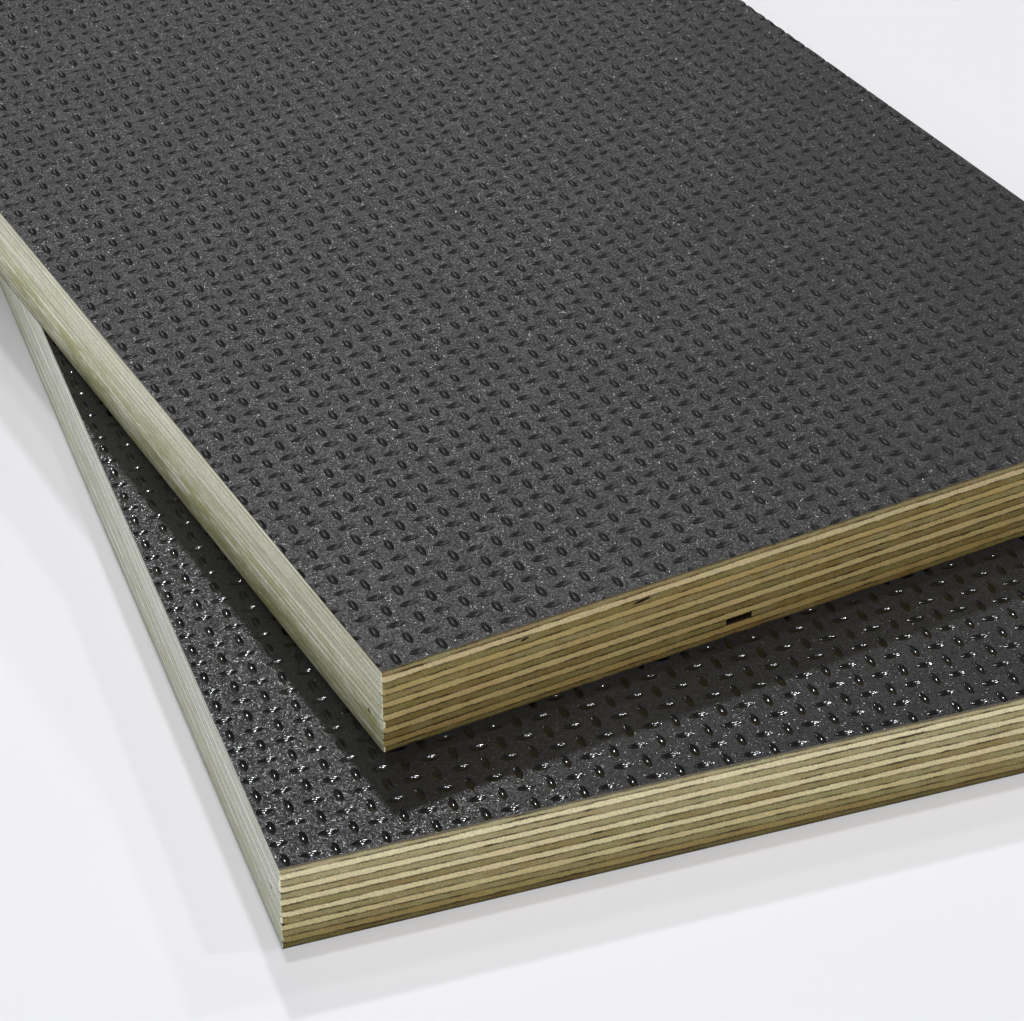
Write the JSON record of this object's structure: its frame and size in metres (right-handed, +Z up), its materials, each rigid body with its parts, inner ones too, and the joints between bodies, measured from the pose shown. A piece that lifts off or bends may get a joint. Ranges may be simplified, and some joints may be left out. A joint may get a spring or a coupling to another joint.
{
  "type": "stack of plywood sheets",
  "caption": "Loose stack of film-faced plywood panels, the upper one turned on the lower: cross-banded veneer sides, a smooth back film and an anti-slip wire-mesh tread on top.",
  "frame": {"origin": "centre of the lower panel's underside", "axes": "+X along the lower panel's short side, +Y along its long side and face grain, away from the viewer, +Z up"},
  "size_m": [0.2449, 0.3512, 0.0369],
  "materials": {
    "veneer_along": "sawn birch veneer with its grain along the panel, end grain on the short sides",
    "veneer_across": "sawn birch veneer with its grain across the panel, side grain on the short sides",
    "tread_film": "dark satin resin film, finely pebbled, with the smooth prints of a wire mesh",
    "back_film": "dark smooth satin resin film"
  },
  "bodies": {
    "root": {"lower_back_film": "back_film", "lower_veneer_01": "veneer_along", "lower_veneer_02": "veneer_across", "lower_veneer_03": "veneer_along", "lower_veneer_04": "veneer_across", "lower_veneer_05": "veneer_along", "lower_veneer_06": "veneer_across", "lower_veneer_07": "veneer_along", "lower_veneer_08": "veneer_across", "lower_veneer_09": "veneer_along", "lower_veneer_10": "veneer_across", "lower_veneer_11": "veneer_along", "lower_veneer_12": "veneer_across", "lower_veneer_13": "veneer_along", "lower_tread_film": "tread_film", "upper_back_film": "back_film", "upper_veneer_01": "veneer_along", "upper_veneer_02": "veneer_across", "upper_veneer_03": "veneer_along", "upper_veneer_04": "veneer_across", "upper_veneer_05": "veneer_along", "upper_veneer_06": "veneer_across", "upper_veneer_07": "veneer_along", "upper_veneer_08": "veneer_across", "upper_veneer_09": "veneer_along", "upper_veneer_10": "veneer_across", "upper_veneer_11": "veneer_along", "upper_veneer_12": "veneer_across", "upper_veneer_13": "veneer_along", "upper_tread_film": "tread_film"}
  },
  "joints": []
}
